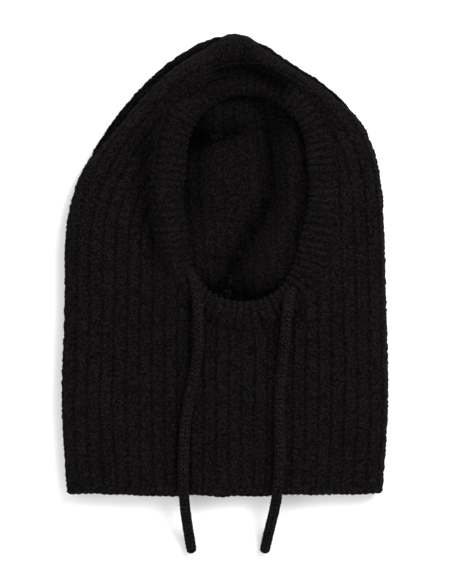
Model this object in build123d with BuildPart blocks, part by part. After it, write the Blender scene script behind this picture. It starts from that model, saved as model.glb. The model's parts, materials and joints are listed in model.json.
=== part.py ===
"""A chunky ribbed balaclava with a drawstring, lying flat on its back.

Frame: millimetres, +Z up. The floor is z = 0, +X is to the right of the open face as it looks
up, and +Y runs from the hem to the peak. The origin is the centre of the hood on the floor.
"""
from build123d import *
from math import atan2, degrees, pi, radians, tan
import os

# Hood, as two knit layers with the collapsed hollow between them
hood_half_width = 135.0
hood_half_height = 191.0
knit = 6.0
hollow = 12.0
fold_wall = 7.0
edge_round = 4.0
hem_edge_half_width = 129.5
hem_edge_depth = 7.0
hem_edge_thickness = 5.0
hem_edge_round = 2.0
front_hem_setback = 3.0
crown_seam_length = 56.0
crown_seam_width = 5.0
crown_seam_height = 3.0
crown_seam_middle = (6.0, 152.0)

# Face opening and its folded band
opening_circles = [(18.0, 91.0, 50.0), (17.4, 58.0, 53.0), (15.0, 17.0, 46.0)]
band_width = 24.0
band_thickness = 17.0
band_leaf = 4.0
band_round = 3.5
band_sink = 8.0
casing_height = band_thickness - 2 * band_leaf
seam_width = 3.0
eyelet_width = 10.0
eyelet_length = 27.0

# Drawstring
cord_diameter = 8.6
bend_share = 0.45
slide_gap = 0.3
swing_gap = 1.0

# Heights that follow
front_bottom = knit + hollow
front_top = front_bottom + knit
fold_middle = front_top / 2
band_bottom = front_top - band_sink
casing_level = band_bottom + band_thickness / 2
hem_line = -hood_half_height

# Outline of the hood from the left hem corner over the peak to the right hem corner
outline_points = [
    (-130.0, hem_line),
    (-134.9, -110.0),
    (-132.4, -20.0),
    (-129.0, 44.0),
    (-111.0, 92.0),
    (-72.0, 145.0),
    (-34.0, 177.0),
    (8.0, 190.9),
    (54.0, 169.0),
    (97.0, 137.0),
    (121.5, 99.0),
    (131.4, 36.0),
    (133.4, -40.0),
    (134.9, -110.0),
    (130.0, hem_line),
]
chin_line = -46.0
brow_line = 104.0
middle_x = 17.0

# Drawstring route hidden in the casing, from the left eyelet over the brow to the right one
casing_route = [
    (-34.5, -7.5, casing_level),
    (-41.0, 13.0, casing_level),
    (-44.9, 38.0, casing_level),
    (-46.2, 64.0, casing_level),
    (-43.6, 90.0, casing_level),
    (-36.6, 114.6, casing_level),
    (-21.6, 136.2, casing_level),
    (1.4, 149.4, casing_level),
    (26.0, 151.0, casing_level),
    (49.4, 142.8, casing_level),
    (67.6, 126.0, casing_level),
    (76.8, 103.0, casing_level),
    (80.6, 78.0, casing_level),
    (80.2, 52.0, casing_level),
    (75.8, 26.0, casing_level),
    (70.0, 3.0, casing_level),
    (62.4, -13.8, casing_level),
]

# Routes of the free ends: casing, eyelet, over the band, down the bib, over the hem, floor
left_route = [
    casing_route[0],
    (-25.3, -23.5, 37.9),
    (-21.3, -50.0, 38.4),
    (-21.6, -71.0, 30.2),
    (-25.4, -91.0, 28.9),
    (-30.4, -113.0, 29.1),
    (-33.2, -138.0, 28.8),
    (-34.4, -162.0, 29.6),
    (-34.3, -181.0, 34.2),
    (-33.2, -198.0, 31.4),
    (-31.8, -213.0, 18.2),
    (-29.8, -227.0, 8.2),
    (-27.4, -239.5, 4.9),
]
right_route = [
    casing_route[-1],
    (52.5, -30.0, 37.9),
    (49.2, -56.0, 38.2),
    (47.4, -78.0, 30.0),
    (45.2, -101.0, 28.9),
    (44.4, -126.0, 29.1),
    (45.2, -146.0, 28.8),
    (44.9, -165.0, 30.0),
    (44.0, -182.0, 34.2),
    (41.6, -199.0, 31.4),
    (38.8, -213.5, 18.4),
    (35.4, -227.0, 8.2),
    (32.4, -239.5, 4.9),
]
slide_joint = 14.0
swing_joint = 18.0


def inset_points(points, inset):
    """The outline's points moved inward, with the two ends carried on past the hem."""
    inner = [(points[0][0] + inset, hem_line - inset)]
    for before, point, after in zip(points, points[1:], points[2:]):
        along = (Vector(*after) - Vector(*before)).normalized() * inset
        inner.append((point[0] + along.Y, point[1] - along.X))
    return [*inner, (points[-1][0] - inset, hem_line - inset)]


def hood_face(points):
    """A flat face inside the outline's points, closed by a straight line along the hem."""
    with BuildSketch() as sketch:
        with BuildLine():
            Spline(*points)
            Line(points[-1], points[0])
        make_face()
    return sketch.sketch


def face_ring(outward):
    """The face opening, grown outward by a width."""
    with BuildSketch() as sketch:
        for x, y, r in opening_circles:
            with Locations((x, y)):
                Circle(r + outward)
        make_hull()
    return sketch.sketch


def corner_radii(points):
    """Arc radii of a cord's route: a share of the shorter run over the tangent of half the turn."""
    radii = []
    for before, point, after in zip(points, points[1:], points[2:]):
        run_in = Vector(*point) - Vector(*before)
        run_out = Vector(*after) - Vector(*point)
        half_turn = run_in.get_angle(run_out) / 2
        radii.append(bend_share * min(run_in.length, run_out.length) / tan(radians(half_turn)))
    return radii


def export(builder, name):
    """Label a finished piece and write its STEP file."""
    builder.part.label = name
    export_step(builder.part, f"parts/{name}.step")


def cord_piece(name, points):
    """A drawstring stretch: a round tube along straight runs joined by tangent arcs."""
    radii = corner_radii(points)
    with BuildPart() as cord:
        with BuildLine() as path:
            if radii:
                FilletPolyline(*points, radius=radii)
            else:
                Line(*points)
        with BuildSketch(Plane(origin=path.line @ 0, z_dir=path.line % 0)):
            Circle(cord_diameter / 2)
        sweep()
    length = path.wires()[0].length
    volume_ratio = cord.part.volume / (length * pi * cord_diameter**2 / 4)
    print(name, "length", round(length, 1), "volume ratio", round(volume_ratio, 4))
    print("  radii", [round(radius, 1) for radius in radii])
    export(cord, name)


def point_between(start, end, distance):
    """The point a distance along the straight run from start to end."""
    run = Vector(*end) - Vector(*start)
    point = Vector(*start) + run.normalized() * distance
    return point.X, point.Y, point.Z


os.makedirs("parts", exist_ok=True)

# Back layer: a flat knit sheet that turns up all round except at the hem
with BuildPart() as hood_back:
    with BuildSketch(Plane.XY):
        add(hood_face(outline_points))
    extrude(amount=fold_middle)
    fillet(hood_back.faces().sort_by(Axis.Z)[0].edges().sort_by(Axis.Y)[1:], edge_round)
    with BuildSketch(Plane.XY.offset(knit)):
        add(hood_face(inset_points(outline_points, fold_wall)))
    extrude(amount=hollow, mode=Mode.SUBTRACT)
    with BuildSketch(Plane.XY):
        with Locations((0, hem_line)):
            Rectangle(3 * hood_half_width, 2 * hem_edge_depth)
    extrude(amount=fold_middle, mode=Mode.SUBTRACT)
export(hood_back, "hood_back")

# Front layer: the same sheet turned down, with the face opening, cut into its four regions
with BuildPart() as front_layer:
    with BuildSketch(Plane.XY.offset(fold_middle)):
        add(hood_face(outline_points))
    extrude(amount=front_top - fold_middle)
    fillet(front_layer.faces().sort_by(Axis.Z)[-1].edges().sort_by(Axis.Y)[1:], edge_round)
    with BuildSketch(Plane.XY):
        add(hood_face(inset_points(outline_points, fold_wall)))
    extrude(amount=front_bottom, mode=Mode.SUBTRACT)
    with BuildSketch(Plane.XY):
        with Locations((0, hem_line)):
            Rectangle(3 * hood_half_width, 2 * (hem_edge_depth + front_hem_setback))
        add(face_ring(band_width))
    extrude(amount=2 * front_top, mode=Mode.SUBTRACT)

regions = {
    "bib": (-hood_half_width, -hood_half_height, hood_half_width, chin_line),
    "hood_side_left": (-hood_half_width, chin_line, middle_x, brow_line),
    "hood_side_right": (middle_x, chin_line, hood_half_width, brow_line),
    "crown": (-hood_half_width, brow_line, hood_half_width, hood_half_height),
}
for name, (x_low, y_low, x_high, y_high) in regions.items():
    with BuildPart() as region:
        with BuildSketch(Plane.XY):
            with Locations(((x_low + x_high) / 2, (y_low + y_high) / 2)):
                Rectangle(x_high - x_low, y_high - y_low)
        extrude(amount=2 * front_top)
        add(front_layer.part, mode=Mode.INTERSECT)
    export(region, name)

# Hem edges: the loose cast-on courses at the end of each layer
for name, level, setback in [
    ("hem_edge_back", 0.0, 0.0),
    ("hem_edge_front", front_top - hem_edge_thickness, front_hem_setback),
]:
    with BuildPart() as hem_edge:
        with BuildSketch(Plane.XY.offset(level)):
            with Locations((0, hem_line + setback)):
                Rectangle(2 * hem_edge_half_width, hem_edge_depth, align=(Align.CENTER, Align.MIN))
        extrude(amount=hem_edge_thickness)
        fillet(hem_edge.faces().sort_by(Axis.Y)[0].edges().filter_by(Axis.X), hem_edge_round)
    export(hem_edge, name)

# Crown seam: the ridge inside the back layer where the knit is joined, from the peak down
with BuildPart() as crown_seam:
    with BuildSketch(Plane.XY.offset(knit)):
        with Locations(crown_seam_middle):
            SlotOverall(crown_seam_length, crown_seam_width, rotation=90)
    extrude(amount=crown_seam_height)
export(crown_seam, "crown_seam")

# Face band: a knit strip folded lengthwise, fold inward, with the casing between its leaves
with BuildPart() as face_band:
    with BuildSketch(Plane.XY.offset(band_bottom)):
        add(face_ring(band_width))
        add(face_ring(0), mode=Mode.SUBTRACT)
    extrude(amount=band_thickness)
    fillet(face_band.faces().filter_by(Axis.Z).edges(), band_round)
    with BuildSketch(Plane.XY.offset(band_bottom + band_leaf)):
        add(face_ring(band_width))
        add(face_ring(band_leaf), mode=Mode.SUBTRACT)
    extrude(amount=casing_height, mode=Mode.SUBTRACT)
    for (x_in, y_in, _), (x_out, y_out, _) in (left_route[:2], right_route[:2]):
        with BuildSketch(Plane.XY.offset(casing_level)):
            with Locations(((x_in + x_out) / 2, (y_in + y_out) / 2)):
                heading = degrees(atan2(y_out - y_in, x_out - x_in))
                SlotOverall(eyelet_length, eyelet_width, rotation=heading)
        extrude(amount=band_thickness, mode=Mode.SUBTRACT)
export(face_band, "face_band")

# Linking seam: the chained join between the band's open edges and the hood
with BuildPart() as band_linking_seam:
    with BuildSketch(Plane.XY.offset(front_top)):
        add(face_ring(band_width + seam_width))
        add(face_ring(band_width), mode=Mode.SUBTRACT)
    extrude(amount=band_bottom + band_leaf + casing_height - front_top)
export(band_linking_seam, "band_linking_seam")

# Drawstring: hidden in the casing from eyelet to eyelet, then a neck, start and end each side
cord_piece("drawstring_in_casing", casing_route)
for side, route in [("left", left_route), ("right", right_route)]:
    neck_end = point_between(route[1], route[2], slide_joint)
    start_begin = point_between(route[1], route[2], slide_joint + slide_gap)
    start_end = point_between(route[1], route[2], swing_joint)
    free_begin = point_between(route[1], route[2], swing_joint + swing_gap)
    cord_piece(f"drawstring_{side}_neck", [*route[:2], neck_end])
    cord_piece(f"drawstring_{side}_start", [start_begin, start_end])
    cord_piece(f"drawstring_{side}_end", [free_begin, *route[2:]])
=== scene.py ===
"""Looks of the chunky ribbed balaclava that lies flat on its back with its face opening up.

Lengths in this script are millimetres in the frame's own axes, and MM turns them into metres
where a mesh, a camera or a light is made. +Y runs from the hem to the peak and +Z is up.
"""
import json
import math

import bpy
import numpy as np
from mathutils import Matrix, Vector


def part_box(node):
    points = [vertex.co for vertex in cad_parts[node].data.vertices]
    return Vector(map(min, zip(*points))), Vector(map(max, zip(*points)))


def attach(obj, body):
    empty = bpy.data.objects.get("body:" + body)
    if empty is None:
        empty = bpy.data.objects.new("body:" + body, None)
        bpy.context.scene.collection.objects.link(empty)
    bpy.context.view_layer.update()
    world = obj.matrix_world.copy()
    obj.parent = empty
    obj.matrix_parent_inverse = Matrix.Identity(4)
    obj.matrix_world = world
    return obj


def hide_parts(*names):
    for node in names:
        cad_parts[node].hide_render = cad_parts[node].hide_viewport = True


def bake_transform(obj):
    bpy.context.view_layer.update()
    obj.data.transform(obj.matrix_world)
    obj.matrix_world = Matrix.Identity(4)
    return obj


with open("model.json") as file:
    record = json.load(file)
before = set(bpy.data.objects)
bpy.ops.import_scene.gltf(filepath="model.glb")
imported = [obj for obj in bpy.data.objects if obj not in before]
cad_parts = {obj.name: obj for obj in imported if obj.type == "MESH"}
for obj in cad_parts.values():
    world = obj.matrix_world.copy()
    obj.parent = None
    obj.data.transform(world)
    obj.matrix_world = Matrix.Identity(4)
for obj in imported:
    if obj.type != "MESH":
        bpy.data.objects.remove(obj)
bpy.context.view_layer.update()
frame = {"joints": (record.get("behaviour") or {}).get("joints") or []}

MM = 0.001

# Heights and edges read from the frame
hem_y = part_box("hem_edge_back")[0][1] / MM
front_hem_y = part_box("hem_edge_front")[0][1] / MM
front_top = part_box("bib")[1][2] / MM
casing_low, casing_high = [z / MM for z in (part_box("face_band")[0][2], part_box("face_band")[1][2])]
casing_level = (casing_low + casing_high) / 2

# Outline of the hood and edge of the face opening, as in the design
outline_points = [
    (-130.0, -191.0), (-134.9, -110.0), (-132.4, -20.0), (-129.0, 44.0), (-111.0, 92.0),
    (-72.0, 145.0), (-34.0, 177.0), (8.0, 190.9), (54.0, 169.0), (97.0, 137.0),
    (121.5, 99.0), (131.4, 36.0), (133.4, -40.0), (134.9, -110.0), (130.0, -191.0),
]
opening_circles = [(18.0, 91.0, 50.0), (17.4, 58.0, 53.0), (15.0, 17.0, 46.0)]
opening_middle = (17.0, 52.0)
chin_level = -46.0

# Drawstring routes: the design's, but lower at the brow and over the hem, and moved beside the eyelets
casing_route = [
    (-30.5, -6.5, 24.5), (-41.0, 13.0, 24.5), (-44.9, 38.0, 24.5), (-46.2, 64.0, 24.5),
    (-43.6, 90.0, 24.5), (-36.6, 114.6, 24.0), (-21.6, 136.2, 20.5), (1.4, 149.4, 16.4),
    (26.0, 151.0, 16.4), (49.4, 142.8, 20.5), (67.6, 126.0, 24.5), (76.8, 103.0, 24.5),
    (80.6, 78.0, 24.5), (80.2, 52.0, 24.5), (75.8, 26.0, 24.5), (70.0, 3.0, 24.5),
    (58.0, -16.5, 24.5),
]
left_route = [
    (-30.5, -6.5, 24.5), (-24.6, -14.0, 32.0), (-22.4, -27.0, 37.8), (-21.3, -50.0, 38.4),
    (-21.6, -71.0, 30.2), (-25.4, -91.0, 28.9), (-30.4, -113.0, 29.1), (-33.2, -138.0, 29.2),
    (-34.4, -162.0, 29.8), (-34.3, -180.0, 30.4), (-33.2, -196.0, 28.6), (-31.8, -210.0, 17.4),
    (-29.8, -225.0, 6.8), (-27.4, -239.5, 4.9),
]
right_route = [
    (58.0, -16.5, 24.5), (52.6, -25.0, 32.0), (50.9, -38.0, 37.8), (49.2, -56.0, 38.2),
    (47.4, -78.0, 30.0), (45.2, -101.0, 28.9), (44.4, -126.0, 29.1), (45.2, -146.0, 29.2),
    (44.9, -165.0, 30.0), (44.0, -180.0, 30.4), (41.6, -196.0, 28.6), (38.8, -210.0, 17.6),
    (35.4, -225.0, 6.8), (32.4, -239.5, 4.9),
]
cord_diameter = 8.6
line_step = 0.5

# Knit gauge
rib_pitch = 10.4
row_height = 3.6
rib_depth = 1.3
band_width = 24.0
band_rib_count = 84
band_rib_depth = 1.2
fold_radius = 11.0
knit_thickness = 5.5
knit_width = 265.0
floor_contact = 0.1

# Stray fibres: how far they lean over, and their tone, set near the top of the range as a painted
# highlight so that they read as lit strands
fibre_lean = 0.7
fibre_highlight_tone = 0.9


# ---------------------------------------------------------------- helpers

def smoothstep(low, high, x):
    """0 below low, 1 above high and a smooth rise between them."""
    t = np.clip((x - low) / (high - low), 0.0, 1.0)
    return t * t * (3.0 - 2.0 * t)


def value_noise(x, y, scale, seed):
    """Smooth random field from -1 to 1 whose lumps are about scale across."""
    table = np.random.default_rng(seed).uniform(-1.0, 1.0, (256, 256))
    gx = np.asarray(x) / scale + 101.3
    gy = np.asarray(y) / scale + 67.9
    ix = np.floor(gx).astype(int)
    iy = np.floor(gy).astype(int)
    fx = gx - ix
    fy = gy - iy
    fx = fx * fx * (3 - 2 * fx)
    fy = fy * fy * (3 - 2 * fy)
    ix0, ix1, iy0, iy1 = ix % 256, (ix + 1) % 256, iy % 256, (iy + 1) % 256
    low = table[ix0, iy0] * (1 - fx) + table[ix1, iy0] * fx
    high = table[ix0, iy1] * (1 - fx) + table[ix1, iy1] * fx
    return low * (1 - fy) + high * fy


def spline_through(points, step):
    """Natural cubic spline through the points, resampled at an even step."""
    p = np.array(points, float)
    t = arc_lengths(p)
    h = np.diff(t)
    n = len(p)
    system = np.eye(n)
    right_side = np.zeros_like(p)
    for i in range(1, n - 1):
        system[i, i - 1:i + 2] = h[i - 1], 2 * (h[i - 1] + h[i]), h[i]
        right_side[i] = 6 * ((p[i + 1] - p[i]) / h[i] - (p[i] - p[i - 1]) / h[i - 1])
    m = np.linalg.solve(system, right_side)
    ts = np.linspace(0, t[-1], 4000)
    k = np.clip(np.searchsorted(t, ts, side="right") - 1, 0, n - 2)
    a = (t[k + 1] - ts)[:, None]
    b = (ts - t[k])[:, None]
    hk = h[k][:, None]
    dense = (m[k] * a ** 3 + m[k + 1] * b ** 3) / (6 * hk)
    dense += (p[k] / hk - m[k] * hk / 6) * a + (p[k + 1] / hk - m[k + 1] * hk / 6) * b
    return resample(dense, step)


def between(at, known, points):
    """Places on a line of points at running numbers between the known ones."""
    return np.stack([np.interp(at, known, column) for column in points.T], axis=1)


def resample(points, step):
    """The same line with points an even step apart."""
    arc = arc_lengths(points)
    count = max(2, int(round(arc[-1] / step)) + 1)
    return between(np.linspace(0, arc[-1], count), arc, points)


def arc_lengths(points):
    """Running length along a line of points."""
    steps = np.linalg.norm(np.diff(points, axis=0), axis=1)
    return np.concatenate([[0], np.cumsum(steps)])


def lifted(flat, height):
    """Flat places with a height each."""
    return np.concatenate([flat, height[..., None]], axis=2)


def keep_above_floor(points):
    """Press whatever reaches lower than the floor onto it."""
    points[..., 2] = np.maximum(points[..., 2], floor_contact)


def nearest(x, y, line):
    """Distance from each place to a flat line, and the running length of its nearest point."""
    flat = np.stack([np.ravel(x), np.ravel(y)], axis=1).astype(np.float32)
    line32 = line.astype(np.float32)
    distance = np.empty(len(flat), np.float32)
    index = np.empty(len(flat), int)
    batch = 20000
    for start in range(0, len(flat), batch):
        part = flat[start:start + batch]
        squared = ((part[:, None, :] - line32[None]) ** 2).sum(axis=2)
        index[start:start + batch] = squared.argmin(axis=1)
        distance[start:start + batch] = np.sqrt(squared.min(axis=1))
    arc = arc_lengths(line)
    return distance.reshape(np.shape(x)).astype(float), arc[index].reshape(np.shape(x))


def near_line(x, y, points, width):
    """1 on a flat line through the points, falling smoothly to 0 a width or so away."""
    distance, _ = nearest(x, y, spline_through(points, 2.0))
    return np.exp(-(distance / width) ** 2)


# ---------------------------------------------------------------- flat curves

outline = spline_through(outline_points, 1.0)
peak_index = int(outline[:, 1].argmax())
left_outline = outline[:peak_index + 1]
right_outline = outline[:peak_index - 1:-1]


def inward_normals(line):
    """Unit normals of the outline that point into the hood."""
    along = np.gradient(line, axis=0)
    along /= np.linalg.norm(along, axis=1)[:, None]
    return np.stack([along[:, 1], -along[:, 0]], axis=1)


outline_inward = inward_normals(outline)


def opening_curve():
    """The face opening's edge from the chin round by the right side, with its outward normals."""
    angles = np.radians(np.linspace(-90, 270, 7200, endpoint=False))
    facing = np.stack([np.cos(angles), np.sin(angles)], axis=1)
    reach = np.stack([x * facing[:, 0] + y * facing[:, 1] + r for x, y, r in opening_circles])
    circles = np.array(opening_circles)[reach.argmax(axis=0)]
    edge = circles[:, :2] + circles[:, 2:] * facing
    edge = resample(np.vstack([edge, edge[:1]]), line_step)[:-1]
    spread = np.arange(-36, 37)
    softness = 14.0
    weights = np.exp(-(spread / softness) ** 2)
    weights /= weights.sum()
    smooth = sum(w * np.roll(edge, -k, axis=0) for k, w in zip(spread, weights))
    along = np.roll(smooth, -1, axis=0) - np.roll(smooth, 1, axis=0)
    along /= np.linalg.norm(along, axis=1)[:, None]
    return smooth, np.stack([along[:, 1], -along[:, 0]], axis=1)


opening_edge, opening_outward = opening_curve()


def ring_line(outward):
    """The opening's edge moved outward by a width."""
    return opening_edge + opening_outward * outward


def angle_from_middle(points):
    """Angle of each flat place seen from the middle of the opening."""
    return np.arctan2(points[:, 1] - opening_middle[1], points[:, 0] - opening_middle[0])


def counted_from_below(angles):
    """The same angles in degrees, from -100 just past the chin to 260 just before it."""
    seen = np.degrees(angles) % 360
    return np.where(seen > 260, seen - 360, seen)


def ring_by_angle(angles, outward):
    """Points of the widened opening edge seen from its middle at the given angles."""
    line = ring_line(outward)
    seen = np.unwrap(angle_from_middle(line))
    order = np.concatenate([seen - 2 * math.pi, seen, seen + 2 * math.pi])
    return between(angles, order, np.vstack([line, line, line]))


# ---------------------------------------------------------------- shape of the lying hood

left_valley = [(-59.0, 118.0), (-65.0, 96.0), (-66.0, 62.0), (-63.0, 33.0), (-55.0, 8.0)]
brow_dip = [(-4.0, 161.0), (9.0, 163.0), (23.0, 160.0), (36.0, 154.0), (48.0, 146.0)]
crown_roll = [(-58.0, 142.0), (-30.0, 163.0), (8.0, 175.0), (46.0, 161.0), (84.0, 134.0)]
left_crease = [(-92.0, 96.0), (-97.0, 50.0), (-92.0, 6.0), (-84.0, -30.0)]


def front_height(x, y):
    """Height of the front layer's outside, before its ribs."""
    height = front_top - 1.0 + 0 * x
    height += 2.0 * smoothstep(-160, -60, y)
    height += 1.5 * value_noise(x, y, 55.0, 3) + 0.9 * value_noise(x, y, 24.0, 4)
    valley_side = smoothstep(-20.0, -50.0, x) * smoothstep(-30.0, 10.0, y)
    chin_side = smoothstep(-20.0, -44.0, y) * smoothstep(50.0, 36.0, np.abs(x - opening_middle[0]))
    flat_side = np.maximum(valley_side, chin_side)
    height += 6.5 * near_line(x, y, ring_line(26.0)[::20], 13.0) * (1 - 0.85 * flat_side)
    height += 3.0 * near_line(x, y, crown_roll, 11.0)
    height -= 2.5 * near_line(x, y, left_valley, 12.0) * smoothstep(132.0, 98.0, y)
    height -= 9.0 * near_line(x, y, brow_dip, 10.0)
    height -= 1.2 * near_line(x, y, left_crease, 9.0)
    return height


def front_painted_shade(x, y):
    """Painted shade on the front layer: how much of the wool's tone it keeps in the left valley and in the
    dip at the brow.
    """
    valley = near_line(x, y, left_valley, 11.0) * smoothstep(134.0, 96.0, y)
    return (1 - 0.85 * valley) * (1 - 0.94 * near_line(x, y, brow_dip, 9.0))


crown_ledge = [(-40.0, 103.0), (-24.0, 106.0), (-8.0, 110.0), (11.0, 114.0), (30.0, 116.0)]
inner_fold = [(37.0, 112.0), (38.0, 87.0), (36.0, 54.0), (18.0, 20.0), (5.0, -6.0), (0.0, -24.0)]
inner_ridge = [(57.0, 112.0), (56.0, 87.0), (54.0, 54.0), (45.0, 20.0), (34.0, -6.0), (27.0, -24.0)]


def beyond_ledge(x, y):
    """Distance past the crown's ledge, and how far it shows."""
    ledge = spline_through(crown_ledge, 1.0)
    return y - np.interp(x, ledge[:, 0], ledge[:, 1]), smoothstep(36.0, 6.0, x)


def inner_height(x, y):
    """Height of the back layer's inside, which the face opening shows."""
    height = 7.5 + 0 * x
    height += 11.0 * smoothstep(6.0, -44.0, x) * smoothstep(-45, 10, y)
    height += 1.0 * value_noise(x, y, 38.0, 11) + 0.6 * value_noise(x, y, 16.0, 12)
    beyond, shown = beyond_ledge(x, y)
    height += 7.5 * smoothstep(0.5, 6.0, beyond) * shown * smoothstep(60.0, 10.0, beyond)
    height -= 9.0 * np.exp(-((beyond + 3.2) / 4.2) ** 2) * shown
    height -= 4.0 * near_line(x, y, inner_fold, 10.0)
    height += 9.0 * near_line(x, y, inner_ridge, 9.0)
    right_wall = smoothstep(28.0, 50.0, x) * smoothstep(120.0, 90.0, y)
    height += 8.0 * near_line(x, y, ring_line(0.0)[::20], 9.0) * right_wall
    height -= 5.0 * smoothstep(-2.0, -24.0, y)
    ceiling = 19.5 - 6.0 * smoothstep(-30.0, -42.0, x)
    return np.clip(height, 2.5, ceiling)


def inner_painted_light(x, y):
    """Painted shade on the inside: in its folds, at the crown's ledge, and under the band at the left and
    at the bottom; and a painted highlight on the ridge near the right.
    """
    beyond, shown = beyond_ledge(x, y)
    reach = 6.0 + 6.0 * smoothstep(14.0, -24.0, x)
    shade = 1 - 0.98 * np.exp(-((beyond + 4.6) / reach) ** 2) * shown
    shade *= 1 - 0.6 * smoothstep(1.0, 6.0, beyond) * shown
    shade *= 1 - 0.88 * near_line(x, y, inner_fold, 10.5)
    shade *= 1 - 0.78 * smoothstep(-5.0, -21.0, x) * smoothstep(10.0, 55.0, y)
    shade *= 1 - 0.92 * smoothstep(-6.0, -23.0, y)
    # Painted highlight on the inner ridge, stronger lower down.
    ridge_painted_highlight = 0.3 + 0.5 * smoothstep(60.0, 10.0, y)
    return shade * (1 + ridge_painted_highlight * near_line(x, y, inner_ridge, 8.0))


def knit_coordinates(x, y):
    """Distance across the ribs and along them at each place of the hood."""
    from_left, arc_left = nearest(x, y, left_outline)
    from_right, arc_right = nearest(x, y, right_outline)
    is_left = from_left < from_right
    in_bib = smoothstep(-15.0, -70.0, y)
    across = np.where(is_left, from_left, knit_width - from_right)
    across_bib = knit_width * from_left / (from_left + from_right)
    along = np.where(is_left, arc_left, arc_right)
    along_bib = y - hem_y
    return (across_bib * in_bib + across * (1 - in_bib),
            along_bib * in_bib + along * (1 - in_bib))


def rib_relief(across, along, pitch, row, seed):
    """Relief from 0 to about 1 of soft knit ribs: a wide groove and a ridge beside it. As tone it paints
    shade in the groove and a highlight on the ridge.
    """
    wander = 0.6 * value_noise(across, along, 26.0, seed) + 0.3 * value_noise(across, along, 7.0, seed + 1)
    phase = (across + wander) / pitch
    share = phase - np.floor(phase)
    off_middle = np.abs(2 * share - 1)
    column = 1 - smoothstep(0.52, 1.0, off_middle)
    ridge = np.exp(-((share - 0.26) / 0.10) ** 2)
    stitch = 0.5 + 0.5 * np.cos(2 * math.pi * (along / row + 0.6 * off_middle + 0.15 * wander))
    loose = 1.0 + 0.3 * value_noise(across, along, 4.2, seed + 2)
    return (0.46 * column + 0.22 * ridge + 0.13 * stitch * column + 0.16) * loose


def wool_tufts(around, along, seed):
    """Small uneven lumps of brushed yarn, in millimetres."""
    return (0.42 * value_noise(around, along, 1.3, seed) + 0.42 * value_noise(around, along, 2.2, seed + 1)
            + 0.25 * value_noise(around, along, 4.5, seed + 2))


# ---------------------------------------------------------------- meshes

def surface_normals(points, closed=False):
    """Unit normals of a grid of points whose columns, and rows if closed, may wrap round."""
    if closed:
        rows = np.roll(points, -1, axis=0) - np.roll(points, 1, axis=0)
        columns = np.roll(points, -1, axis=1) - np.roll(points, 1, axis=1)
    else:
        rows = np.gradient(points, axis=0)
        columns = np.gradient(points, axis=1)
    normals = np.cross(columns, rows)
    return normals / np.maximum(np.linalg.norm(normals, axis=2)[..., None], 1e-9)


def grid_quads(rows, columns, closed_rows, closed_columns):
    """Corner numbers of a grid's quads."""
    i, j = np.meshgrid(np.arange(rows if closed_rows else rows - 1),
                       np.arange(columns if closed_columns else columns - 1), indexing="ij")
    i2, j2 = (i + 1) % rows, (j + 1) % columns
    corners = [i * columns + j, i * columns + j2, i2 * columns + j2, i2 * columns + j]
    return np.stack(corners, axis=-1).reshape(-1, 4)


ribbon_points = 5


def fibre_ribbons(roots, normals, length, width, lean, seed):
    """Thin curved ribbons that grow out of a surface, with the normals of their roots."""
    random = np.random.default_rng(seed)
    count = len(roots)
    sideways = np.cross(normals, random.normal(size=(count, 3)))
    sideways /= np.maximum(np.linalg.norm(sideways, axis=1)[:, None], 1e-9)
    reach = length * random.uniform(0.4, 1.3, count)[:, None]
    rise = random.uniform(1 - lean, 1.0, count)[:, None]
    middle = roots + (normals * rise * 0.55 + sideways * 0.45) * reach * 0.55
    bend = np.cross(normals, sideways) * random.uniform(-0.5, 0.5, count)[:, None]
    tip = middle + (normals * rise * 0.25 + sideways * 0.75 + bend) * reach * 0.5
    flat = np.cross(tip - roots, normals)
    flat /= np.maximum(np.linalg.norm(flat, axis=1)[:, None], 1e-9)
    half = flat * width / 2
    low = roots - normals * 0.3
    points = np.stack([low - half, low + half, middle + half * 0.8, middle - half * 0.8, tip], axis=1)
    keep_above_floor(points)
    return points.reshape(-1, 3), np.repeat(normals, ribbon_points, axis=0)


def mesh_object(name, parts, material):
    """Smooth mesh object from parts of points, normals, quads, triangles and relief."""
    points = np.concatenate([part["points"] for part in parts])
    normals = np.concatenate([part["normals"] for part in parts])
    relief_and_painted_light = np.concatenate([part["relief_and_painted_light"] for part in parts])
    starts = np.cumsum([0] + [len(part["points"]) for part in parts])
    quads = np.concatenate([part["quads"] + start for part, start in zip(parts, starts)])
    triangles = np.concatenate([part["triangles"] + start for part, start in zip(parts, starts)])
    corners = np.concatenate([quads.ravel(), triangles.ravel()]).astype(np.int32)
    loop_starts = np.concatenate([np.arange(len(quads)) * 4,
                                  quads.size + np.arange(len(triangles)) * 3]).astype(np.int32)
    mesh = bpy.data.meshes.new(name)
    mesh.vertices.add(len(points))
    mesh.vertices.foreach_set("co", (points * MM).astype(np.float32).ravel())
    mesh.loops.add(len(corners))
    mesh.loops.foreach_set("vertex_index", corners)
    mesh.polygons.add(len(loop_starts))
    mesh.polygons.foreach_set("loop_start", loop_starts)
    mesh.update(calc_edges=True)
    mesh.shade_smooth()
    mesh.normals_split_custom_set_from_vertices(normals.astype(np.float32))
    # The per-point attribute is the knit's relief together with painted shade and painted highlights,
    # which the wool's material reads as tone.
    attribute = mesh.attributes.new("relief_and_painted_light", "FLOAT", "POINT")
    attribute.data.foreach_set("value", np.clip(relief_and_painted_light, 0, 1).astype(np.float32))
    mesh.materials.append(material)
    piece = bpy.data.objects.new(name, mesh)
    bpy.context.scene.collection.objects.link(piece)
    return piece


def grid_part(points, normals, relief_and_painted_light, closed_rows=False, closed_columns=False):
    """Part of a mesh from a grid of points."""
    return {"points": points.reshape(-1, 3), "normals": normals.reshape(-1, 3),
            "relief_and_painted_light": np.ravel(relief_and_painted_light), "triangles": np.zeros((0, 3), int),
            "quads": grid_quads(*points.shape[:2], closed_rows, closed_columns)}


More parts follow.
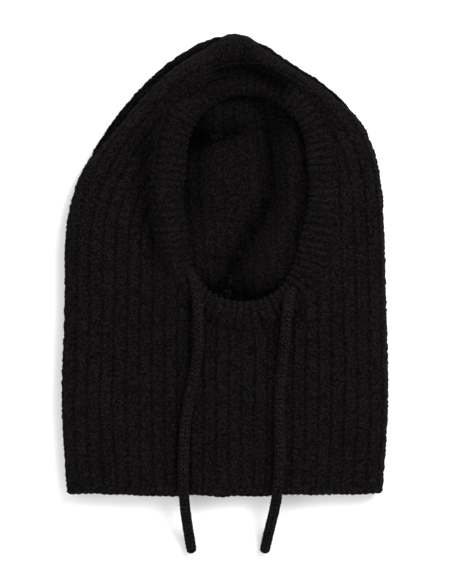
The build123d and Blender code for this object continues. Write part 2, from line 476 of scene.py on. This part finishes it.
def fibre_part(grid, normals, count, length, width, lean, seed):
    """Part of a mesh with stray fibres at random places of a grid."""
    chosen = np.random.default_rng(seed).integers(0, grid.shape[0] * grid.shape[1], count)
    points, point_normals = fibre_ribbons(grid.reshape(-1, 3)[chosen], normals.reshape(-1, 3)[chosen],
                                          length, width, lean, seed + 1)
    first = np.arange(count)[:, None] * ribbon_points
    return {"points": points, "normals": point_normals, "relief_and_painted_light": np.full(len(points), fibre_highlight_tone),
            "quads": first + np.array([0, 1, 2, 3]), "triangles": first + np.array([3, 2, 4])}


def tube_grid(path, sides, level=(0.0, 0.0, 1.0)):
    """Outward directions, angles and running lengths of a tube round a line of points."""
    along = np.gradient(path, axis=0)
    along /= np.linalg.norm(along, axis=1)[:, None]
    side = np.cross(along, np.array(level))
    side /= np.linalg.norm(side, axis=1)[:, None]
    up = np.cross(side, along)
    angles, arcs = np.meshgrid(np.linspace(0, 2 * math.pi, sides, endpoint=False), arc_lengths(path))
    outward = np.cos(angles)[..., None] * side[:, None] - np.sin(angles)[..., None] * up[:, None]
    return outward, angles, arcs


# ---------------------------------------------------------------- materials

def knit_material(name, tone, fibre=1.0):
    """Brushed black wool: flecked fibres and a little sheen, with painted shade between the ribs and in
    the hollows and a few painted highlights, all from the per-point attribute.
    """
    material = bpy.data.materials.new(name)
    material.use_nodes = True
    nodes, links = material.node_tree.nodes, material.node_tree.links
    shader = nodes["Principled BSDF"]
    shader.inputs["Roughness"].default_value = 0.95
    shader.inputs["Sheen Roughness"].default_value = 0.6
    shader.inputs["Sheen Tint"].default_value = (0.75, 0.68, 0.72, 1)
    place = nodes.new("ShaderNodeTexCoord")

    def noise(scale, detail, roughness):
        texture = nodes.new("ShaderNodeTexNoise")
        texture.inputs["Scale"].default_value = scale
        texture.inputs["Detail"].default_value = detail
        texture.inputs["Roughness"].default_value = roughness
        links.new(place.outputs["Object"], texture.inputs["Vector"])
        return texture.outputs["Fac"]

    def combine(operation, first, second):
        node = nodes.new("ShaderNodeMath")
        node.operation = operation
        for socket, value in zip(node.inputs, (first, second)):
            if isinstance(value, (int, float)):
                socket.default_value = value
            else:
                links.new(value, socket)
        return node.outputs[0]

    def spread(value, low, high, to_low, to_high):
        node = nodes.new("ShaderNodeMapRange")
        links.new(value, node.inputs["Value"])
        ends = (("From Min", low), ("From Max", high), ("To Min", to_low), ("To Max", to_high))
        for socket, number in ends:
            node.inputs[socket].default_value = number
        return node.outputs["Result"]

    def blend_colours(factor, first, second):
        node = nodes.new("ShaderNodeMix")
        node.data_type = "RGBA"
        links.new(factor, node.inputs["Factor"])
        for socket, colour in (("A", first), ("B", second)):
            if isinstance(colour, tuple):
                node.inputs[socket].default_value = (*colour, 1)
            else:
                links.new(colour, node.inputs[socket])
        return node.outputs["Result"]

    flecks = noise(780 / fibre, 1.0, 0.6)
    tufts = noise(430 / fibre, 2.0, 0.65)
    clouds = noise(38, 3.0, 0.5)
    hues = noise(75, 4.0, 0.7)
    relief_and_painted_light = nodes.new("ShaderNodeAttribute")
    relief_and_painted_light.attribute_name = "relief_and_painted_light"
    speckle = combine("MULTIPLY", spread(flecks, 0.42, 0.60, -0.15, 2.35),
                      spread(tufts, 0.36, 0.66, 0.25, 1.75))
    speckle = combine("ADD", speckle, 0.15)
    # Painted shade and highlights: the per-point attribute darkens the colour towards the near-black dark
    # colour in grooves, hollows and under the band.
    shade = combine("MULTIPLY", speckle, spread(relief_and_painted_light.outputs["Fac"], 0.0, 1.0, 0.09, 0.60))
    shade = combine("MULTIPLY", shade, spread(clouds, 0.3, 0.7, 0.8, 1.2))
    warm, cool, dark = [tuple(tone * v for v in colour) for colour in (
        (0.0088, 0.0070, 0.0068), (0.0078, 0.0062, 0.0083), (0.0006, 0.0005, 0.0006))]
    wool = blend_colours(spread(hues, 0.36, 0.64, 0.0, 1.0), warm, cool)
    links.new(blend_colours(shade, dark, wool), shader.inputs["Base Color"])
    # Specular and sheen also fade out where the attribute paints deep shade.
    for socket, most in (("Specular IOR Level", 0.02), ("Sheen Weight", 0.012)):
        links.new(spread(relief_and_painted_light.outputs["Fac"], 0.0, 0.2, 0.0, most), shader.inputs[socket])
    fuzz = combine("ADD", combine("MULTIPLY", flecks, 0.5), combine("MULTIPLY", tufts, 0.8))
    bump = nodes.new("ShaderNodeBump")
    bump.inputs["Strength"].default_value = 0.9
    bump.inputs["Distance"].default_value = 2.0 * MM
    links.new(fuzz, bump.inputs["Height"])
    links.new(bump.outputs["Normal"], shader.inputs["Normal"])
    return material


hood_wool = knit_material("hood_wool", 0.95)
inner_wool = knit_material("inner_wool", 0.9)
band_wool = knit_material("band_wool", 1.0)
hem_wool = knit_material("hem_wool", 1.15)
cord_wool = knit_material("cord_wool", 1.6, 0.9)
seam_wool = knit_material("seam_wool", 0.7)


def finish_piece(piece, body, slot, *nodes):
    """Attach a piece to its body and hide the design nodes that it stands for. The slot argument is not
    used.
    """
    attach(piece, body)
    if nodes:
        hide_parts(*nodes)
    return piece


# ---------------------------------------------------------------- camera, light and floor

camera_place = (0.8 * MM, -22.4 * MM, 1.9)
sensor_size = 36.0
knit_distance = 1.89
picture_span = 0.4836


def make_camera():
    """A long lens straight above the hood, with the peak at the top of the picture."""
    camera = bpy.data.objects.new("camera", bpy.data.cameras.new("camera"))
    bpy.context.scene.collection.objects.link(camera)
    camera.location = camera_place
    camera.data.lens = sensor_size * knit_distance / picture_span
    camera.data.clip_end = 20
    bpy.context.scene.camera = camera


def make_stage():
    """A seamless pale floor under even light, with a soft key light from the upper right."""
    reach = 6.0
    mesh = bpy.data.meshes.new("floor")
    corners = [(-reach, -reach, 0), (reach, -reach, 0), (reach, reach, 0), (-reach, reach, 0)]
    mesh.from_pydata(corners, [], [(0, 1, 2, 3)])
    floor = bpy.data.objects.new("floor", mesh)
    floor.location.z = -0.5 * MM
    bpy.context.scene.collection.objects.link(floor)
    material = bpy.data.materials.new("pale_floor")
    material.use_nodes = True
    shader = material.node_tree.nodes["Principled BSDF"]
    shader.inputs["Base Color"].default_value = (0.9, 0.9, 0.9, 1)
    shader.inputs["Roughness"].default_value = 0.9
    mesh.materials.append(material)
    world = bpy.data.worlds.new("studio")
    world.use_nodes = True
    world.node_tree.nodes["Background"].inputs["Color"].default_value = (1, 1, 1, 1)
    world.node_tree.nodes["Background"].inputs["Strength"].default_value = 0.92
    bpy.context.scene.world = world
    for name, place, size, power in [
        ("key", (1.1, 1.1, 1.8), 1.1, 56.0),
        ("fill", (-1.3, -0.6, 2.0), 1.8, 16.0),
    ]:
        lamp = bpy.data.lights.new(name, "AREA")
        lamp.size = size
        lamp.energy = power
        light = bpy.data.objects.new(name, lamp)
        light.location = place
        light.rotation_euler = (-Vector(place)).to_track_quat("-Z", "Y").to_euler()
        bpy.context.scene.collection.objects.link(light)
    bpy.context.scene.view_settings.view_transform = "Standard"


make_camera()
make_stage()


# ---------------------------------------------------------------- drawstring

icord_columns = 4
icord_row = 3.6
icord_depth = 0.6
icord_sides = 56
tip_length = 4.4


def drawstring_line():
    """Points of the whole drawstring's centre line, from the left tip to the right one."""
    curve = bpy.data.curves.new("drawstring_line", "CURVE")
    curve.dimensions = "3D"
    curve.resolution_u = 24
    spline = curve.splines.new("NURBS")
    route = left_route[:0:-1] + casing_route + right_route[1:]
    spline.points.add(len(route) - 1)
    for point, place in zip(spline.points, route):
        point.co = (*[v * MM for v in place], 1.0)
    spline.order_u = 3
    spline.use_endpoint_u = True
    holder = bpy.data.objects.new("drawstring_line", curve)
    mesh = bpy.data.meshes.new_from_object(holder)
    line = np.array([vertex.co[:] for vertex in mesh.vertices]) / MM
    bpy.data.objects.remove(holder)
    bpy.data.meshes.remove(mesh)
    bpy.data.curves.remove(curve)
    return resample(line, line_step)


def icord_parts(path, first_arc, fibre_count, seed, round_start=False, round_end=False):
    """A knitted cord round a path: four columns of slanted stitches, with stray fibres."""
    outward, angles, arcs = tube_grid(path, icord_sides)
    arcs = arcs + first_arc
    across = angles / (2 * math.pi) * icord_columns
    off_middle = np.abs(2 * (across - np.floor(across)) - 1)
    loose = 1 + 0.10 * value_noise(across * 6, arcs, 5.0, seed)
    phase = arcs / icord_row + 0.55 * off_middle + 0.08 * value_noise(across * 8, arcs, 9.0, seed + 1)
    leg = 0.5 + 0.5 * np.cos(2 * math.pi * phase)
    column = np.sqrt(np.clip(1 - np.abs(off_middle * 2 - 1) ** 2.2, 0, 1))
    # The stitches' relief sets the cord's radius and, as tone, paints shade between the stitches.
    relief_and_painted_light = (0.35 + 0.65 * leg ** 0.8) * (0.35 + 0.65 * column) * loose
    radius = cord_diameter / 2 - icord_depth + icord_depth * 1.35 * relief_and_painted_light
    radius += 0.16 * value_noise(across * 6.75, arcs, 1.4, seed + 2)
    length = arcs[-1, 0] - arcs[0, 0]
    from_start = arcs - arcs[0, 0]
    for wanted, from_end in ((round_start, from_start), (round_end, length - from_start)):
        if wanted:
            reach = np.clip(from_end / tip_length, 0.0, 1.0)
            radius = radius * np.sqrt(np.clip(1 - (1 - reach) ** 2, 0.0004, 1))
    grid = path[:, None] + outward * radius[..., None]
    normals = surface_normals(grid, True)
    normals[[0, -1]] = normals[[1, -2]]
    fibres = fibre_part(grid[3:-3], normals[3:-3], fibre_count, 1.9, 0.13, 0.6, seed + 3)
    return [grid_part(grid, normals, 1.35 * relief_and_painted_light - 0.35, False, True), fibres]


def make_drawstring():
    """The knitted drawstring: hidden in the band, with a neck and a free end at each side."""
    line = drawstring_line()
    arc = arc_lengths(line)
    swings = {joint["name"]: np.array(joint["pos_m"]) / MM for joint in frame["joints"]
              if joint["name"].endswith("swing")}

    def nearest_index(place):
        return int(np.linalg.norm(line - np.array(place), axis=1).argmin())

    left_pivot = nearest_index(swings["left_cord_swing"])
    left_casing = nearest_index(casing_route[3])
    right_casing = nearest_index(casing_route[-4])
    right_pivot = nearest_index(swings["right_cord_swing"])
    hidden = mesh_object("drawstring_inside_band",
                         icord_parts(line[left_casing:right_casing:3], arc[left_casing], 1, 21), cord_wool)
    finish_piece(hidden, "hood", "cord_knit", "drawstring_in_casing")
    for side, casing, pivot, tip, seed in (("left", left_casing, left_pivot, 0, 31),
                                           ("right", right_casing, right_pivot, len(line) - 1, 41)):
        eyelet = nearest_index(left_route[1] if side == "left" else right_route[1])
        first, last = min(casing, pivot), max(casing, pivot)
        piece = mesh_object(f"drawstring_{side}_neck_knit",
                            icord_parts(line[first:last + 1], arc[first], 500, seed), cord_wool)
        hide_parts(f"drawstring_{side}_neck", f"drawstring_{side}_start")
        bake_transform(piece)
        first, last = min(tip, pivot), max(tip, pivot)
        free = line[first:last + 1]
        piece = mesh_object(f"drawstring_{side}_free_end",
                            icord_parts(free, arc[first], 4200, seed + 5, tip == 0, tip > 0), cord_wool)
        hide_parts(f"drawstring_{side}_end")
        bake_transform(piece)


make_drawstring()


# ---------------------------------------------------------------- front layer of the hood

fold_columns = 40
ring_overlap = 17.0
crown_rows = (36, 64)


def place_on_outline(at):
    """Places and inward directions on the outline at running numbers between its points."""
    numbers = np.arange(len(outline))
    return between(at, numbers, outline), between(at, numbers, outline_inward)


def outline_numbers(level):
    """Running numbers of the outline's points at a level, on the left and on the right."""
    rising = np.interp(level, left_outline[:, 1], np.arange(len(left_outline)))
    falling = np.interp(level, right_outline[:, 1], np.arange(len(outline) - 1, peak_index - 1, -1))
    return rising, falling


def strip_width(place):
    """How far the back layer shows beyond the front one at each place of the outline."""
    x, y = place[:, 0], place[:, 1]
    upper_left = 8.0 * smoothstep(66, 122, y) * smoothstep(14.0, -24.0, x)
    upper_right = 4.5 * smoothstep(14.0, 34.0, x) * smoothstep(112.0, 140.0, y)
    return upper_left + upper_right


def fold_profile(strip):
    """The side fold from the floor round to the top: distances from the outline and shares of height.

    Where the back layer shows as a strip behind the front one, the fold has a lower step.
    """
    turn = np.linspace(-math.pi / 2, math.pi / 2, fold_columns)
    plain_d = fold_radius * (1 - np.cos(turn))
    plain_z = 0.5 + 0.5 * np.sin(turn)
    step_d = np.array([11.0, 4.0, 0.3, 0.0, 0.0, 0.0, 0.0, 0.0, 0.0, 0.0, 2.0, 6.0, 11.0])
    widening = np.array([0.0, 0.0, 0.0, 0.0, 0.2, 0.62, 0.95, 1.04, 0.95, 0.98, 1.0, 1.0, 1.0])
    step_z = np.array([0.0, 0.01, 0.12, 0.23, 0.35, 0.41, 0.38, 0.33, 0.5, 0.69, 0.85, 0.96, 1.0])
    at = np.linspace(0, 1, fold_columns)
    strip_d = np.interp(at, np.linspace(0, 1, len(step_d)), step_d)
    strip_z = np.interp(at, np.linspace(0, 1, len(step_z)), step_z)
    wider = np.interp(at, np.linspace(0, 1, len(widening)), widening)
    for line in (strip_d, strip_z, wider):
        for _ in range(2):
            line[1:-1] = 0.25 * line[:-2] + 0.5 * line[1:-1] + 0.25 * line[2:]
    weight = smoothstep(0.0, 5.0, strip)[:, None]
    strip_d = strip_d + wider * strip[:, None]
    return plain_d * (1 - weight) + strip_d * weight, plain_z * (1 - weight) + strip_z * weight


def fold_grid(at):
    """Grid of the side fold at places of the outline, with its knit coordinates."""
    place, inward = place_on_outline(at)
    d, share = fold_profile(strip_width(place))
    top = place + inward * d[:, -1:]
    height = front_height(top[:, 0], top[:, 1])[:, None] * share
    flat = place[:, None] + inward[:, None] * d[..., None]
    points = lifted(flat, height)
    across, along = knit_coordinates(top[:, 0], top[:, 1])
    steps = np.linalg.norm(np.diff(points, axis=1), axis=2)
    behind = np.zeros(d.shape)
    behind[:, :-1] = np.cumsum(steps[:, ::-1], axis=1)[:, ::-1]
    side = np.where(across < knit_width / 2, -1.0, 1.0)[:, None]
    return points, across[:, None] + side * behind, np.repeat(along[:, None], fold_columns, axis=1)


def ribbed(points, across, along, depth, seed, fade=1.0, pitch=rib_pitch, shade=1.0):
    """The surface with ribs and tufts raised along its normals, its new normals and its tone: the ribs'
    painted shade and highlight times the painted shade given as shade.
    """
    relief_and_painted_light = rib_relief(across, along, pitch, row_height, seed) * fade + 0.7 * (1 - fade)
    lift = (relief_and_painted_light - 0.75) * depth + wool_tufts(points[..., 0] + points[..., 2], points[..., 1], seed + 5)
    raised = points + surface_normals(points) * lift[..., None]
    keep_above_floor(raised)
    return raised, surface_normals(raised), relief_and_painted_light * shade


def crown_fade(x, y):
    """Ribs flatten out where both sides meet at the peak."""
    return 1 - 0.8 * smoothstep(135.0, 172.0, y) * np.exp(-((x - 10.0) / 52.0) ** 2)


def side_and_crown():
    """Grid from the chin level on the left, over the peak, to the chin level on the right."""
    at = np.linspace(*outline_numbers(chin_level - 0.2), 960)
    fold, across_fold, along_fold = fold_grid(at)
    top = fold[:, -1, :2]
    seen = counted_from_below(angle_from_middle(top))
    wanted = np.interp(seen, [seen.min(), 0, 90, 180, seen.max()], [-90, 0, 90, 180, 270])
    inner = ring_by_angle(np.radians(wanted), ring_overlap)
    share = np.linspace(0, 1, 131)[1:]
    flat = top[:, None] * (1 - share[:, None]) + inner[:, None] * share[:, None]
    field = lifted(flat, front_height(flat[..., 0], flat[..., 1]))
    across, along = knit_coordinates(flat[..., 0], flat[..., 1])
    return (np.concatenate([fold, field], axis=1), np.concatenate([across_fold, across], axis=1),
            np.concatenate([along_fold, along], axis=1))


def bib_grid():
    """Grid of the neck's front from the hem to the chin level, with both side folds."""
    low = front_hem_y + 2.0
    at_left, at_right = outline_numbers(np.linspace(low, chin_level, 206))
    fold_left, across_left, along_left = fold_grid(at_left)
    fold_right, across_right, along_right = fold_grid(at_right)
    share = np.linspace(0, 1, 332)[1:-1]
    flat = (fold_left[:, -1:, :2] * (1 - share[:, None]) + fold_right[:, -1:, :2] * share[:, None])
    field = lifted(flat, front_height(flat[..., 0], flat[..., 1]))
    across, along = knit_coordinates(flat[..., 0], flat[..., 1])
    return (np.concatenate([fold_left, field, fold_right[:, ::-1]], axis=1),
            np.concatenate([across_left, across, across_right[:, ::-1]], axis=1),
            np.concatenate([along_left, along, along_right[:, ::-1]], axis=1))


def make_front():
    """Both sides, the crown and the bib of the front layer; gives places on its skin."""
    points, across, along = side_and_crown()
    x, y = points[..., 0], points[..., 1]
    # Painted shade in the front's hollows, and on the fold below the step where the back layer shows as a
    # strip behind the front one.
    shade = front_painted_shade(x, y)
    field_columns = points.shape[1] - fold_columns
    below_step = smoothstep(0.66, 0.54, np.linspace(0, 1, fold_columns))
    below_step = np.concatenate([below_step, np.zeros(field_columns)])
    shows = smoothstep(1.0, 5.0, strip_width(points[:, fold_columns // 2, :2]))[:, None]
    shade *= 1 - 0.7 * below_step * shows
    raised, normals, relief_and_painted_light = ribbed(points, across, along, rib_depth, 51, crown_fade(x, y), shade=shade)
    cuts = [0, *[len(points) * percent // 100 for percent in crown_rows], len(points) - 1]
    for name, node, first, last in (("side_left_knit", "hood_side_left", cuts[0], cuts[1]),
                                    ("crown_knit", "crown", cuts[1], cuts[2]),
                                    ("side_right_knit", "hood_side_right", cuts[2], cuts[3])):
        rows = slice(first, last + 1)
        part = grid_part(raised[rows], normals[rows], relief_and_painted_light[rows])
        finish_piece(mesh_object(name, [part], hood_wool), "hood", "hood_knit", node)
    add_fibres("side_fuzz", raised, normals, 15000, 2.1, 0.14, 61, hood_wool, "hood_knit")
    side_skin = raised[::3, fold_columns * 3 // 4::2].reshape(-1, 3)
    points, across, along = bib_grid()
    raised, normals, relief_and_painted_light = ribbed(points, across, along, rib_depth, 51)
    bib = mesh_object("bib_knit", [grid_part(raised, normals, relief_and_painted_light)], hood_wool)
    finish_piece(bib, "hood", "hood_knit", "bib")
    add_fibres("bib_fuzz", raised, normals, 9000, 2.1, 0.14, 63, hood_wool, "hood_knit")
    return np.vstack([side_skin, raised[::3, fold_columns:-fold_columns:2].reshape(-1, 3)])


def add_fibres(name, grid, normals, count, length, width, seed, wool, slot):
    """A piece of stray fibres that grow out of a grid of the hood."""
    part = fibre_part(grid, normals, count, length, width, fibre_lean, seed)
    finish_piece(mesh_object(name, [part], wool), "hood", slot)


front_skin = make_front()


# ---------------------------------------------------------------- face band

def make_band():
    """The doubled, ribbed band round the opening: a soft roll with ribs across it."""
    line = ring_line(band_width / 2)
    line = np.vstack([line, line[:1]])
    arc = arc_lengths(line)
    at = np.linspace(0, arc[-1], band_rib_count * 12, endpoint=False)
    outward = np.vstack([opening_outward, opening_outward[:1]])
    middle = between(at, arc, line)
    facing = between(at, arc, outward)
    facing /= np.linalg.norm(facing, axis=1)[:, None]
    right = smoothstep(-0.1, 0.8, facing[:, :1])
    left = smoothstep(0.1, 0.8, -facing[:, :1])
    brow = smoothstep(0.5, 0.95, facing[:, 1:] - 0.25 * np.clip(facing[:, :1], 0, 1))
    chin = smoothstep(0.4, 0.9, -facing[:, 1:])
    turn = np.linspace(0, 2 * math.pi, 80, endpoint=False)
    across = -np.sign(np.cos(turn)) * np.abs(np.cos(turn)) ** 0.85
    rise = np.sign(np.sin(turn)) * np.abs(np.sin(turn)) ** 0.85
    top = np.clip(rise, 0, 1)
    u = across * (band_width / 2 + 1.2 + 1.6 * right + 1.0 * left) + 1.6 * right + 1.0 * left
    u += (2.6 * chin - 1.4 * right * top) * np.clip(-across, 0, 1)
    z = casing_level - 0.3 + rise * ((casing_high - casing_low) / 2 - 0.6) + 0 * u
    z -= left * 6.0 * np.clip(across, 0, 1) ** 2 + top * left * 4.0 * across ** 2
    tilt = right * 2.4 * np.clip(across, -1, 1) + brow * 6.5 * smoothstep(-0.8, 0.5, across)
    z -= brow * 5.0 + top * tilt
    flat = middle[:, None] + facing[:, None] * u[..., None]
    z += top * (0.7 * value_noise(flat[..., 0], flat[..., 1], 17.0, 76))
    points = lifted(flat, z)
    place = at[:, None] / arc[-1] * band_rib_count
    share = place + 0.14 * value_noise(place * 6, u, 10.0, 71) + 0.08 * value_noise(place * 6, u, 4.0, 72)
    off_middle = np.abs(2 * (share - np.floor(share)) - 1)
    column = 1 - smoothstep(0.25, 0.95, off_middle)
    over = turn[None, :] * band_width / 2
    stitch = 0.5 + 0.5 * np.cos(2 * math.pi * (over / 3.2 + 0.6 * off_middle))
    relief_and_painted_light = 0.76 * column + 0.24 * stitch * column
    relief_and_painted_light *= 1 + 0.22 * value_noise(place * 6, over, 5.0, 73)
    relief_and_painted_light = relief_and_painted_light * (1 - 0.5 * brow - 0.2 * left) + 0.34 * brow + 0.14 * left
    lift = (relief_and_painted_light - 0.7) * band_rib_depth + wool_tufts(flat[..., 0], flat[..., 1] + z, 74)
    for start, end in ((left_route[0], left_route[1]), (right_route[0], right_route[1])):
        hole = (np.array(start) * 0.4 + np.array(end) * 0.6)[:2]
        away = np.linalg.norm(flat - hole, axis=2)
        lift += top * (1.2 * np.exp(-((away - 7.0) / 2.4) ** 2) - 5.0 * np.exp(-(away / 4.6) ** 2))
        # Painted shade in each eyelet's hole.
        relief_and_painted_light = relief_and_painted_light * (1 - 0.8 * top * np.exp(-(away / 4.8) ** 2))
    relief_and_painted_light = 0.18 + 0.74 * relief_and_painted_light
    # Painted shade at the brow and its dip, and on the left where the band rolls down into the valley
    # outside and into the opening inside.
    relief_and_painted_light *= (1 - 0.55 * brow) * (1 - 0.94 * near_line(flat[..., 0], flat[..., 1], brow_dip, 9.0))
    relief_and_painted_light *= 1 - left * (0.6 * smoothstep(0.1, 0.9, across) + 0.45 * smoothstep(-0.1, -0.9, across))
    raised = points + surface_normals(points, True) * lift[..., None]
    normals = surface_normals(raised, True)
    band = mesh_object("face_band_knit", [grid_part(raised, normals, relief_and_painted_light, True, True)], band_wool)
    finish_piece(band, "hood", "band_knit", "face_band")
    add_fibres("band_fuzz", raised, normals, 9000, 1.9, 0.13, 75, band_wool, "band_knit")


make_band()


# ---------------------------------------------------------------- inside and back of the hood

lining_level = 5.0
right_chin_angle = -42.0
underside_level = 1.7


def hood_width_at(levels, margin):
    """Left and right edge of the hood at the given levels, moved inward by a margin."""
    left = np.interp(levels, left_outline[:, 1], left_outline[:, 0]) + margin
    right = np.interp(levels, right_outline[:, 1], right_outline[:, 0]) - margin
    return left, right


def make_inner_face():
    """The back layer's inner face, where the face opening shows it."""
    levels = np.linspace(-52.0, 168.0, 360)
    left, right = hood_width_at(levels, 16.0)
    share = np.linspace(0, 1, 250)
    left, right = np.maximum(left, -58.0)[:, None], np.minimum(right, 94.0)[:, None]
    x = left + (right - left) * share
    y = levels[:, None] + 0 * x
    points = np.stack([x, y, inner_height(x, y)], axis=-1)
    across = 200.0 + x + 0.06 * (y - 40.0) + 3.0 * value_noise(x, y, 60.0, 82)
    # Painted shade and painted highlight of the inside, a little darker overall.
    shade = 0.9 * inner_painted_light(x, y)
    raised, normals, relief_and_painted_light = ribbed(points, across, y + 300.0, 1.5, 81, 0.6, 9.6, shade)
    inside = mesh_object("hood_back_inner_knit", [grid_part(raised, normals, relief_and_painted_light)], inner_wool)
    finish_piece(inside, "hood", "hood_knit", "hood_back")
    add_fibres("inner_fuzz", raised, normals, 4000, 1.9, 0.14, 83, inner_wool, "hood_knit")


def make_lining():
    """The inner face of both layers, from the opening or the middle of the neck round each side fold."""
    at = np.linspace(*outline_numbers(front_hem_y + 1.0), 430)
    place, inward = place_on_outline(at)
    strip = 0.9 * strip_width(place)[:, None]
    turn = np.linspace(math.pi / 2, -math.pi / 2, 14)
    d = knit_thickness + strip + (fold_radius - knit_thickness) * (1 - np.cos(turn))
    fold = place[:, None] + inward[:, None] * d[..., None]
    edge = fold[:, 0]
    over = np.maximum(front_height(edge[:, 0], edge[:, 1]) - knit_thickness, 12.0)[:, None]
    fold_z = lining_level + (over - lining_level) * (0.5 + 0.5 * np.sin(turn))
    seen = counted_from_below(angle_from_middle(edge))
    left_side = slice(0, peak_index // 3)
    left_chin = np.interp(chin_level, edge[left_side, 1], seen[left_side])
    wanted = np.interp(seen, [right_chin_angle, 0, 90, 180, left_chin], [-90, 0, 90, 180, 270])
    target = ring_by_angle(np.radians(wanted), 4.0)
    below = edge[:, 1] < chin_level
    target[below] = np.stack([np.full(below.sum(), opening_middle[0]), edge[below, 1]], axis=1)
    share = np.linspace(1, 0, 64)[:-1, None]
    front = edge[:, None] * (1 - share) + target[:, None] * share
    front_z = front_height(front[..., 0], front[..., 1]) - knit_thickness
    spine = np.stack([np.full(len(at), opening_middle[0]), np.clip(edge[:, 1], -200.0, 110.0)], axis=1)
    share = np.linspace(0, 1, 70)[1:, None]
    back = fold[:, -1:] * (1 - share) + spine[:, None] * share
    behind_face = np.minimum(lining_level, inner_height(back[..., 0], back[..., 1]) - 2.4)
    shown = smoothstep(-70.0, -50.0, back[..., 1])
    back_z = lining_level * (1 - shown) + behind_face * shown
    points = np.concatenate([lifted(front, front_z), lifted(fold, fold_z), lifted(back, back_z)], axis=1)
    points = points[:, ::-1]
    across, along = knit_coordinates(points[..., 0], points[..., 1])
    raised, normals, relief_and_painted_light = ribbed(points, across, along, 1.4, 91)
    lining = mesh_object("hood_lining_knit", [grid_part(raised, normals, relief_and_painted_light)], inner_wool)
    finish_piece(lining, "hood", "hood_knit")


def make_underside():
    """The back layer's outer face, flattened where it lies on the floor."""
    first, last = outline_numbers(hem_y + 2.0)
    at = np.linspace(last, first, 560)
    place, inward = place_on_outline(at)
    edge = place + inward * (fold_radius - 3.0)
    spine = np.stack([np.full(len(at), 4.0), np.clip(edge[:, 1], -200.0, 120.0)], axis=1)
    share = np.linspace(0, 1, 120)[:, None]
    flat = edge[:, None] * (1 - share) + spine[:, None] * share
    points = lifted(flat, np.full(flat.shape[:2], underside_level))
    across, along = knit_coordinates(flat[..., 0], flat[..., 1])
    raised, normals, relief_and_painted_light = ribbed(points, across, along, 2.0, 95)
    back = mesh_object("hood_back_knit", [grid_part(raised, normals, relief_and_painted_light)], hood_wool)
    finish_piece(back, "hood", "hood_knit", "hood_back")


make_inner_face()
make_lining()
make_underside()


# ---------------------------------------------------------------- hem and seams

hem_radius = 2.9


def knotted_yarn(path, radius, stitch, sides, seed, level=(0.0, 0.0, 1.0)):
    """A chain of yarn loops along a path, as a mesh part with its grid and normals."""
    outward, angles, arcs = tube_grid(path, sides, level)
    phase = arcs / stitch + 0.14 * value_noise(arcs, angles, 11.0, seed)
    loop = np.abs(np.sin(math.pi * phase + 0.55 * np.sin(angles)))
    # The loops' relief sets their size and, as tone, paints shade between the loops.
    relief_and_painted_light = 0.25 + 0.75 * loop ** 0.7
    size = radius * (0.72 + 0.38 * relief_and_painted_light) + 0.5 * wool_tufts(arcs, angles * radius, seed + 1)
    grid = path[:, None] + outward * size[..., None]
    keep_above_floor(grid)
    normals = surface_normals(grid, True)
    normals[[0, -1]] = normals[[1, -2]]
    return grid_part(grid, normals, relief_and_painted_light, False, True), grid, normals


def hem_path(level, front):
    """Centre line of the hem's loose edge: across one layer and half-way round both side folds."""
    fold, _, _ = fold_grid(np.array(outline_numbers(level)))
    turn = np.linspace(-math.pi / 2, math.pi / 2, fold_columns)
    fold[..., 0] += np.array([[1.0], [-1.0]]) * hem_radius * np.cos(turn)
    fold[..., 2] -= hem_radius * np.sin(turn)
    fold[..., 1] += (-1.5 if front else 1.5) * np.cos(turn) ** 2
    half = fold_columns // 2
    if front:
        left, right = fold[0, half - 1:], fold[1, :half - 2:-1]
    else:
        left, right = fold[0, half::-1], fold[1, :half + 1]
    share = np.linspace(0, 1, 80)[1:-1, None]
    middle = left[-1] * (1 - share) + right[0] * share
    if front:
        middle[:, 2] = front_height(middle[:, 0], middle[:, 1]) - hem_radius
    line = np.vstack([left, middle, right])
    line[:, 1] -= 2.0 * (1 - (line[:, 0] / 130.0) ** 2)
    line[:, 1] += 0.9 * value_noise(line[:, 0], line[:, 2], 13.0, 101)
    return resample(line, 0.45)


def make_hem():
    """The loose cast-on edge round the mouth of the neck, with a few loose hairs."""
    for name, node, level, front, seed in (
            ("hem_front_edge", "hem_edge_front", front_hem_y + 3.0, True, 111),
            ("hem_back_edge", "hem_edge_back", hem_y + 3.0, False, 121)):
        path = hem_path(level, front)
        part, grid, normals = knotted_yarn(path, hem_radius, 5.2, 26, seed, (0.0, 1.0, 0.0))
        hairs = fibre_part(grid, normals, 2600, 2.6, 0.14, fibre_lean, seed + 5)
        finish_piece(mesh_object(name, [part, hairs], hem_wool), "hood", "hem_edge_yarn", node)


def make_seams():
    """The band's linking seam, sunk in the join, and the seam inside the crown."""
    ring = ring_line(band_width + 1.2)
    ring = resample(np.vstack([ring, ring[:1]]), 0.6)
    below = [np.square(front_skin[:, :2] - place).sum(axis=1).argmin() for place in ring]
    spread = range(-6, 7)
    height = sum(np.roll(front_skin[below, 2], shift) for shift in spread) / len(spread) - 0.3
    part, _, _ = knotted_yarn(np.column_stack([ring, height]), 1.1, 4.4, 12, 131)
    chain = mesh_object("band_linking_chain", [part], seam_wool)
    finish_piece(chain, "hood", "seam_yarn", "band_linking_seam")
    low, high = [np.array(corner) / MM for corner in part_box("crown_seam")]
    middle = (low[1] + high[1]) / 2
    ends = np.array([[low[0], middle, high[2]], [high[0], middle, high[2]]])
    part, _, _ = knotted_yarn(resample(ends, 0.6), 1.8, 4.4, 12, 135)
    finish_piece(mesh_object("crown_seam_chain", [part], seam_wool), "hood", "seam_yarn", "crown_seam")


make_hem()
make_seams()
